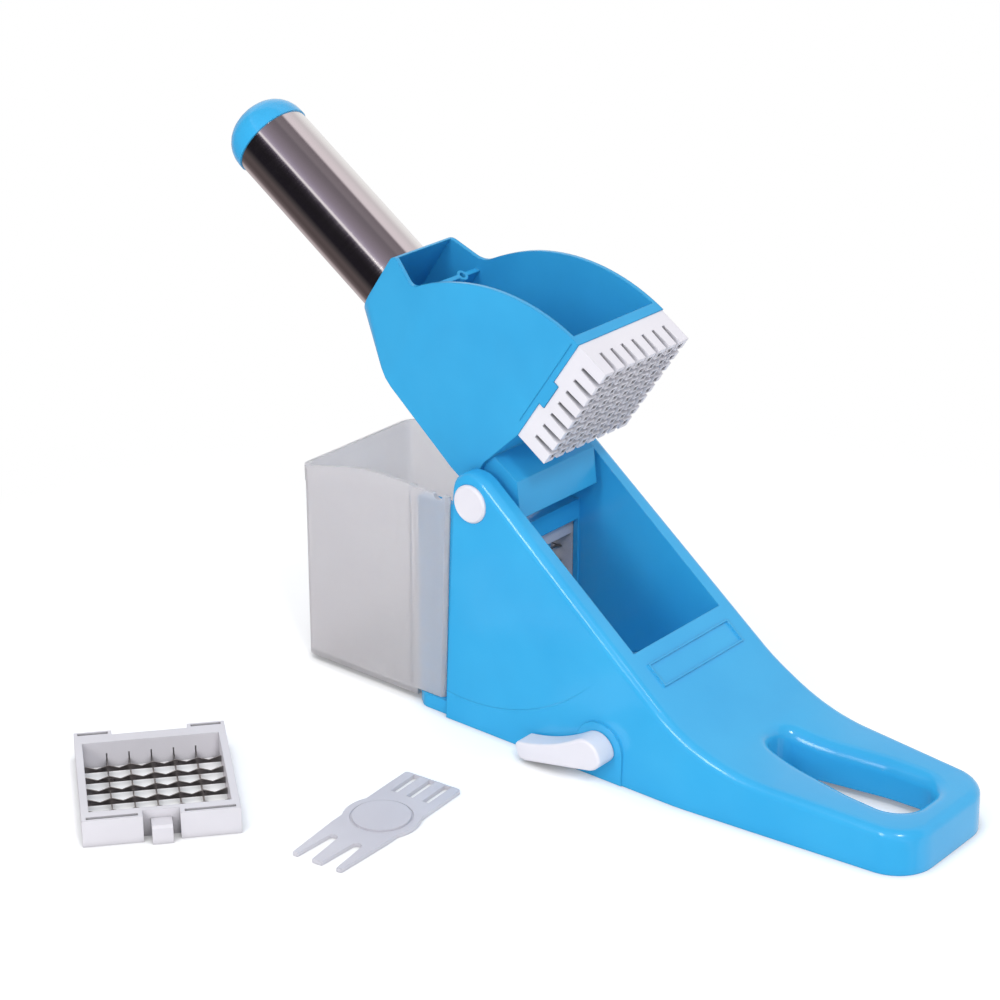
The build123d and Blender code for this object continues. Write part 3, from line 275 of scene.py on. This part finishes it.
# ---------------------------------------------------------------- floor
def seamless():
    """Floor sheet: a flat square of matt white paper that reaches half each way.

    The paper shades under the object, and in the gap where a piece stands on it its colour
    darkens as painted shade. A small glow keeps it white next to the object, and dims with that
    painted shade. From clear_from to clear_to away from the middle of the object, where no
    shadow falls, it turns to plain white for the camera."""
    half, middle, clear_from, clear_to = 3, (0.04, -0.03, 0.0), 0.22, 0.42
    gap, glow_strength = 7 * MM, 0.22
    mesh = bpy.data.meshes.new("floor_sheet")
    corners = [(-half, -half, 0), (half, -half, 0), (half, half, 0), (-half, half, 0)]
    mesh.from_pydata(corners, [], [(0, 1, 2, 3)])
    floor = bpy.data.objects.new("floor_sheet", mesh)
    bpy.context.scene.collection.objects.link(floor)

    made = bpy.data.materials.new("white_paper")
    tree = blank(made)
    place = node(tree, "ShaderNodeTexCoord").outputs["Object"]
    seen = node(tree, "ShaderNodeLightPath").outputs["Is Camera Ray"]
    # painted shade: ambient occlusion darkens the paper's colour, and its glow, where pieces
    # stand close over it
    close = node(tree, "ShaderNodeAmbientOcclusion", {"samples": 8}, Distance=gap)
    painted_floor_shade = node(tree, "ShaderNodeMapRange", Value=close.outputs["AO"], From_Min=0.2,
                   From_Max=0.9, To_Min=0.5, To_Max=1.0).outputs["Result"]
    paper = node(tree, "ShaderNodeBsdfDiffuse", Color=painted_floor_shade)
    lift = node(tree, "ShaderNodeMath", {"operation": "MULTIPLY"}, {0: seen, 1: glow_strength})
    lift = node(tree, "ShaderNodeMath", {"operation": "MULTIPLY"},
                {0: lift.outputs["Value"], 1: painted_floor_shade})
    glow = node(tree, "ShaderNodeEmission", Strength=lift.outputs["Value"])
    near = node(tree, "ShaderNodeAddShader", None,
                {0: paper.outputs["BSDF"], 1: glow.outputs["Emission"]})
    reach = node(tree, "ShaderNodeVectorMath", {"operation": "DISTANCE"}, {0: place, 1: middle})
    far = node(tree, "ShaderNodeMapRange", {"interpolation_type": "SMOOTHSTEP"},
               Value=reach.outputs["Value"], From_Min=clear_from, From_Max=clear_to)
    clear = node(tree, "ShaderNodeMath", {"operation": "MULTIPLY"},
                 {0: far.outputs["Result"], 1: seen})
    plain = node(tree, "ShaderNodeEmission", Color=(1, 1, 1, 1), Strength=1.0)
    mix = node(tree, "ShaderNodeMixShader", None,
               {0: clear.outputs["Value"], 1: near.outputs["Shader"],
                2: plain.outputs["Emission"]})
    node(tree, "ShaderNodeOutputMaterial", Surface=mix.outputs["Shader"])
    mesh.materials.append(made)
    floor.visible_glossy = False


# ---------------------------------------------------------------- lights
def lamp(name, place, size, watts, mirrored):
    """White soft box at place, turned to the dicer; mirrored ones are seen in glossy faces."""
    aim = Vector((0.03, 0, 0.1))
    data = bpy.data.lights.new(name, "AREA")
    data.shape = "RECTANGLE"
    data.size, data.size_y = size
    data.energy = watts
    made = bpy.data.objects.new(name, data)
    made.visible_glossy = mirrored
    made.location = place
    made.rotation_euler = (aim - Vector(place)).to_track_quat("-Z", "Y").to_euler()
    bpy.context.scene.collection.objects.link(made)


# Strips of light and dark cloth round the line of the tube, each stop with its degrees and
# colour: 0 is the near side, 90 in front and above, -90 behind and below, 180 the far side.
STRIPS = [
    (-180, "#FFFFFF"), (-160, "#FFFFFF"), (-146, "#E8E2E4"), (-132, "#BEB4B6"),
    (-112, "#CCC2C4"), (-100, "#B8ACAE"), (-88, "#786D6F"), (-70, "#5A5051"),
    (-52, "#625859"), (-40, "#4A4547"), (-28, "#221F26"), (0, "#1E1B20"), (14, "#2A252E"),
    (23, "#5A5262"), (26, "#FFFAFF"), (29, "#FFFAFF"), (32, "#B8AEC2"), (40, "#A298AA"),
    (50, "#958B98"), (70, "#807780"), (82, "#787078"), (90, "#8A8188"), (110, "#80777E"),
    (117, "#F0E6EC"), (126, "#F2E8EE"), (150, "#E2DCE0"), (168, "#FAF8FA"), (180, "#FFFFFF"),
]


def studio():
    """Soft even light for the object, plain white for the camera and through the container,
    and for glossy faces a room whose strips run parallel to the tube of the handle."""
    world = bpy.data.worlds.new("studio")
    bpy.context.scene.world = world
    tree = blank(world)
    ray = node(tree, "ShaderNodeLightPath").outputs
    fill = node(tree, "ShaderNodeBackground", Color=colour("#F6F8FC"), Strength=0.73)
    white = node(tree, "ShaderNodeBackground", Color=(1, 1, 1, 1), Strength=1.0)
    # the tube leans back from upright by lean, and near and front are square to it
    lean = math.radians(56)
    near, front = Vector((0, -1, 0)), Vector((math.cos(lean), 0, math.sin(lean)))
    turn = Matrix((near, front, near.cross(front))).to_euler()
    place = node(tree, "ShaderNodeTexCoord").outputs["Generated"]
    turned = node(tree, "ShaderNodeMapping", {"vector_type": "POINT"}, Vector=place,
                  Rotation=turn)
    angle = node(tree, "ShaderNodeTexGradient", {"gradient_type": "RADIAL"},
                 Vector=turned.outputs["Vector"])
    shade = node(tree, "ShaderNodeValToRGB", Fac=angle.outputs["Fac"],
                 stops=[(degrees / 360 + 0.5, code) for degrees, code in STRIPS])
    room = node(tree, "ShaderNodeBackground", Color=shade.outputs["Color"], Strength=1.0)
    around = node(tree, "ShaderNodeMixShader", None,
                  {0: ray["Is Glossy Ray"], 1: fill.outputs["Background"],
                   2: room.outputs["Background"]})
    plain = node(tree, "ShaderNodeMath", {"operation": "MAXIMUM"},
                 {0: ray["Is Camera Ray"], 1: ray["Is Transmission Ray"]})
    mix = node(tree, "ShaderNodeMixShader", None,
               {0: plain.outputs["Value"], 1: around.outputs["Shader"],
                2: white.outputs["Background"]})
    node(tree, "ShaderNodeOutputWorld", Surface=mix.outputs["Shader"])


# ---------------------------------------------------------------- camera
def camera():
    """Level camera, 39.56 degrees round from the near side to the front, looking down by
    23.14 degrees."""
    data = bpy.data.cameras.new("camera")
    data.sensor_width = 36.0
    data.lens = 97.16
    made = bpy.data.objects.new("camera", data)
    ahead = Vector((-0.5856, 0.7090, -0.3929)).normalized()
    right = Vector((0.7710, 0.6369, 0.0)).normalized()
    upward = right.cross(ahead).normalized()
    turn = Matrix((right, upward, -ahead)).transposed()
    made.matrix_world = Matrix.Translation((0.7194, -0.8911, 0.5887)) @ turn.to_4x4()
    bpy.context.scene.collection.objects.link(made)
    bpy.context.scene.camera = made


seamless()
# a narrow upright box at the near side, broad soft fill, and a small box at the near front
lamp("strip_box", (0.09, -1.765, 1.04), (0.28, 0.63), 7, True)
lamp("key_box", (0.67, -1.11, 1.63), (1.2, 1.2), 4, False)
lamp("front_box", (1.18, -0.83, 1.51), (0.28, 0.28), 8, True)
studio()
camera()
bpy.context.scene.view_settings.view_transform = "Standard"
